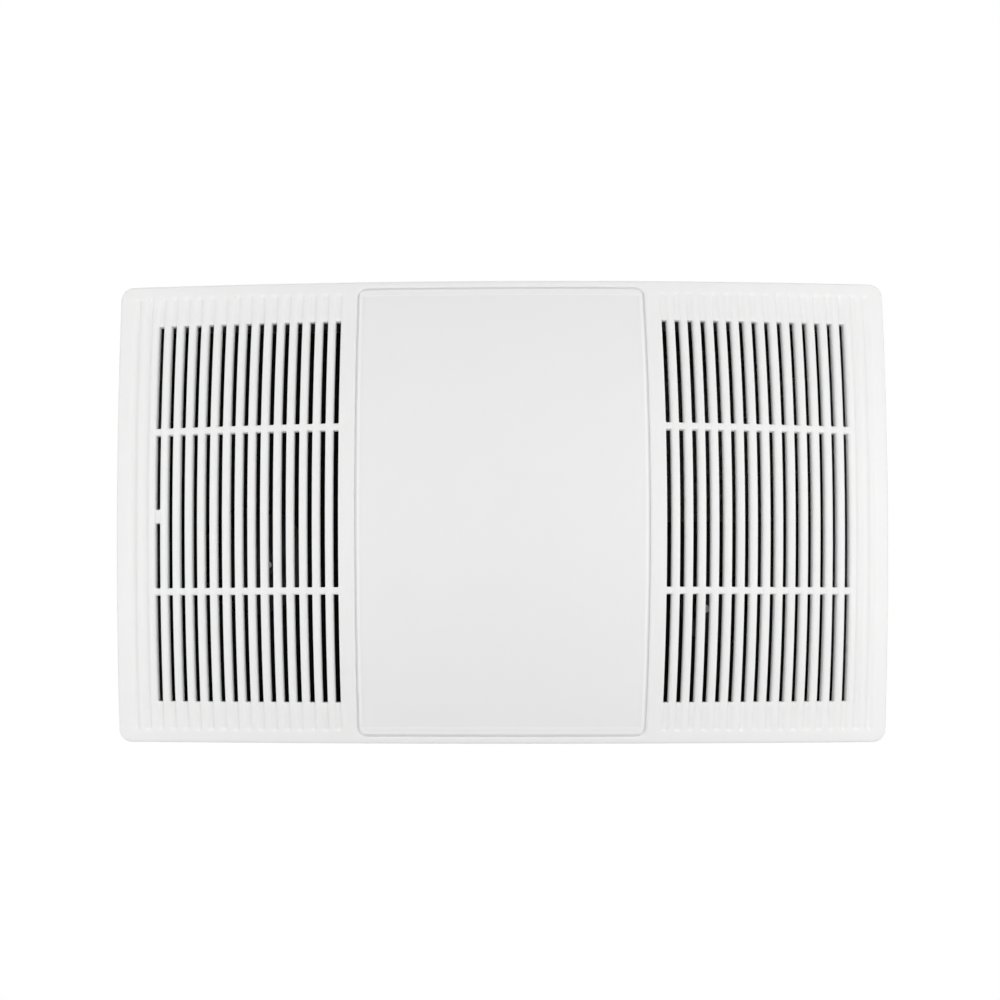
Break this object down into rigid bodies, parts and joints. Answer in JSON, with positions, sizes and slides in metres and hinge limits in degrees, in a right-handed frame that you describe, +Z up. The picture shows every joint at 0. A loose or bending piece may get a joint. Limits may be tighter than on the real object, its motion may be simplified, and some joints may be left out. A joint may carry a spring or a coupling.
{
  "type": "bathroom heater exhaust fan",
  "caption": "Ceiling unit with an exhaust blower, a fan-forced heater and a light in a steel housing behind a crowned white louvred grille with a central panel.",
  "frame": {"origin": "middle of the housing's opening, in the plane of the finished ceiling", "axes": "+Z up into the ceiling, +X along the long side from the exhaust fan to the heater, +Y towards the back"},
  "size_m": [0.511, 0.3169, 0.1878],
  "materials": {
    "galvanised": "galvanised sheet with a faint spangle",
    "zinc_screws": "bright zinc",
    "black_plastic": "fine matt texture",
    "steel_pin": "ground steel",
    "flap_aluminium": "mill finish",
    "ivory_plastic": "plain moulded",
    "black_paint": "dead matt black",
    "motor_steel": "dark enamel",
    "heater_steel": "bare sheet",
    "mica": "pressed mica board",
    "nichrome": "drawn resistance wire",
    "cutout_steel": "pressed can",
    "guard_wire": "black coated wire",
    "white_paint": "gloss white enamel",
    "white_board": "white solder mask",
    "chip_yellow": "phosphor",
    "driver_plastic": "plain moulded",
    "grille_plastic": "satin white moulding",
    "panel_plastic": "satin white tile",
    "spring_steel": "drawn spring wire"
  },
  "bodies": {
    "fixed_unit": {"housing": "galvanised", "mounting_ears": "galvanised", "duct_collar": "black_plastic", "collar_screws": "zinc_screws", "damper_pin": "steel_pin", "wiring_box": "galvanised", "wiring_cover": "galvanised", "wiring_cover_screws": "zinc_screws", "knockout_slug": "galvanised", "lead_bushing": "black_plastic", "receptacle_block": "ivory_plastic", "exhaust_partition": "galvanised", "heater_partition": "galvanised", "exhaust_front_plate": "black_paint", "heater_front_plate": "black_paint", "plate_screws": "zinc_screws", "exhaust_inlet_ring": "black_plastic", "heater_inlet_ring": "heater_steel", "exhaust_scroll": "black_plastic", "exhaust_motor": "motor_steel", "exhaust_motor_screws": "zinc_screws", "heater_scroll": "heater_steel", "heater_motor": "motor_steel", "heater_motor_screws": "zinc_screws", "heater_duct": "galvanised", "element_frame": "mica", "heating_coils": "nichrome", "thermal_cutout": "cutout_steel", "outlet_guard": "guard_wire", "light_pan": "white_paint", "pan_screws": "zinc_screws", "light_board": "white_board", "light_chips": "chip_yellow", "light_driver": "driver_plastic", "driver_screws": "zinc_screws", "spring_bracket_front": "galvanised", "spring_bracket_back": "galvanised"},
    "exhaust_rotor": {"exhaust_wheel": "black_plastic", "exhaust_wheel_blades": "black_plastic", "exhaust_shaft": "steel_pin"},
    "heater_rotor": {"heater_wheel": "heater_steel", "heater_wheel_blades": "heater_steel", "heater_shaft": "steel_pin"},
    "damper": {"damper_flap": "flap_aluminium"},
    "grille_assembly": {"grille": "grille_plastic", "light_panel": "panel_plastic", "spring_hook_front": "spring_steel", "spring_hook_back": "spring_steel", "hook_screws": "zinc_screws", "spring_coil_front": "spring_steel", "spring_coil_back": "spring_steel"},
    "arm_front_left": {"spring_arm_front_left": "spring_steel"},
    "arm_front_right": {"spring_arm_front_right": "spring_steel"},
    "arm_back_left": {"spring_arm_back_left": "spring_steel"},
    "arm_back_right": {"spring_arm_back_right": "spring_steel"}
  },
  "joints": [
    {"name": "exhaust_spin", "type": "hinge", "parent": "fixed_unit", "child": "exhaust_rotor", "pos_m": [-0.16995, 0.028, 0.1], "axis": [0, 0, -1], "continuous": true},
    {"name": "heater_spin", "type": "hinge", "parent": "fixed_unit", "child": "heater_rotor", "pos_m": [0.15123, 0.06125, 0.09], "axis": [0, 0, -1], "continuous": true},
    {"name": "damper_swing", "type": "hinge", "parent": "fixed_unit", "child": "damper", "pos_m": [-0.24305, -0.03246, 0.106], "axis": [0, 1, 0], "range_deg": [0, 75]},
    {"name": "grille_drop", "type": "slide", "parent": "fixed_unit", "child": "grille_assembly", "axis": [0, 0, -1], "range_m": [0, 0.06], "stiffness_N_per_m": 60, "springref_m": -0.2},
    {"name": "arm_front_left_swing", "type": "hinge", "parent": "grille_assembly", "child": "arm_front_left", "pos_m": [0, -0.123, -0.00687], "axis": [0, 1, 0], "range_deg": [0, 21.5]},
    {"name": "arm_front_right_swing", "type": "hinge", "parent": "grille_assembly", "child": "arm_front_right", "pos_m": [0, -0.123, -0.00687], "axis": [0, -1, 0], "range_deg": [0, 21.5]},
    {"name": "arm_back_left_swing", "type": "hinge", "parent": "grille_assembly", "child": "arm_back_left", "pos_m": [0, 0.123, -0.00687], "axis": [0, 1, 0], "range_deg": [0, 21.5]},
    {"name": "arm_back_right_swing", "type": "hinge", "parent": "grille_assembly", "child": "arm_back_right", "pos_m": [0, 0.123, -0.00687], "axis": [0, -1, 0], "range_deg": [0, 21.5]}
  ],
  "couplings": [
    {"joint": "arm_front_left_swing", "follows": "grille_drop", "rad_per_m": 6.1087},
    {"joint": "arm_front_right_swing", "follows": "grille_drop", "rad_per_m": 6.1087},
    {"joint": "arm_back_left_swing", "follows": "grille_drop", "rad_per_m": 6.1087},
    {"joint": "arm_back_right_swing", "follows": "grille_drop", "rad_per_m": 6.1087}
  ]
}
